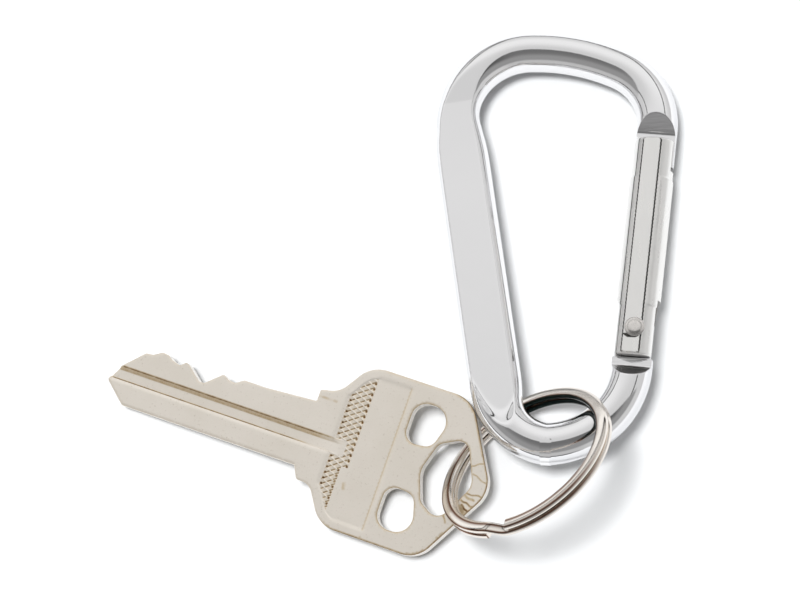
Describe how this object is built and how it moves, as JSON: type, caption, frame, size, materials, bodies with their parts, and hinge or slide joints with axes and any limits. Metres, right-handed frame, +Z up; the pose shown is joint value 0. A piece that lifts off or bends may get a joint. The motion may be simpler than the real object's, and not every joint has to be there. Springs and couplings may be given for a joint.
{
  "type": "carabiner keyring",
  "caption": "Snap carabiner with a flat-pressed back and sprung gate, carrying a split ring and a notched flat house key, lying on a plane.",
  "frame": {"origin": "middle of the footprint of the whole keyring, on the plane that it lies on", "axes": "+Z up from the plane; +Y roughly along the carabiner from its narrow end to its wide end; the key points towards -X"},
  "size_m": [0.076, 0.071, 0.0178],
  "materials": {
    "polished_aluminium": "polished, finely scratched",
    "gate_aluminium": "warm bright anodised, satin",
    "rivet_steel": "polished",
    "spring_steel": "plain",
    "ring_steel": "bright nickel plate over steel, tarnished in its gap",
    "key_nickel": "nickel plate over brass, worn on edges and in grooves"
  },
  "bodies": {
    "carabiner": {"carabiner_body": "polished_aluminium", "hinge_rivet": "rivet_steel"},
    "gate": {"gate": "gate_aluminium", "gate_spring": "spring_steel"},
    "plunger": {"spring_plunger": "spring_steel"},
    "ring": {"split_ring": "ring_steel"},
    "key": {"house_key": "key_nickel"}
  },
  "joints": [
    {"name": "gate_hinge", "type": "hinge", "parent": "carabiner", "child": "gate", "pos_m": [0.03185, -0.00722, 0.00456], "axis": [0.0209, 0.0495, 0.9986], "range_deg": [0, 25], "stiffness_Nm_per_rad": 0.02, "springref_deg": -20.05},
    {"name": "plunger_slide", "type": "slide", "parent": "gate", "child": "plunger", "axis": [0.1203, 0.9914, -0.0517], "range_m": [0, 0.0008], "deforming": ["gate_spring"]},
    {"name": "ring_turn", "type": "hinge", "parent": "carabiner", "child": "ring", "pos_m": [0.01734, -0.02081, 0.00553], "axis": [-0.1203, -0.9914, 0.0517], "range_deg": [0, 60]},
    {"name": "key_round_ring", "type": "hinge", "parent": "ring", "child": "key", "pos_m": [0.0179, -0.02482, 0.00893], "axis": [-0.4453, 0.5232, 0.7266], "range_deg": [0, 60]}
  ],
  "couplings": [
    {"joint": "plunger_slide", "follows": "gate_hinge", "m_per_rad": 0.0016}
  ]
}
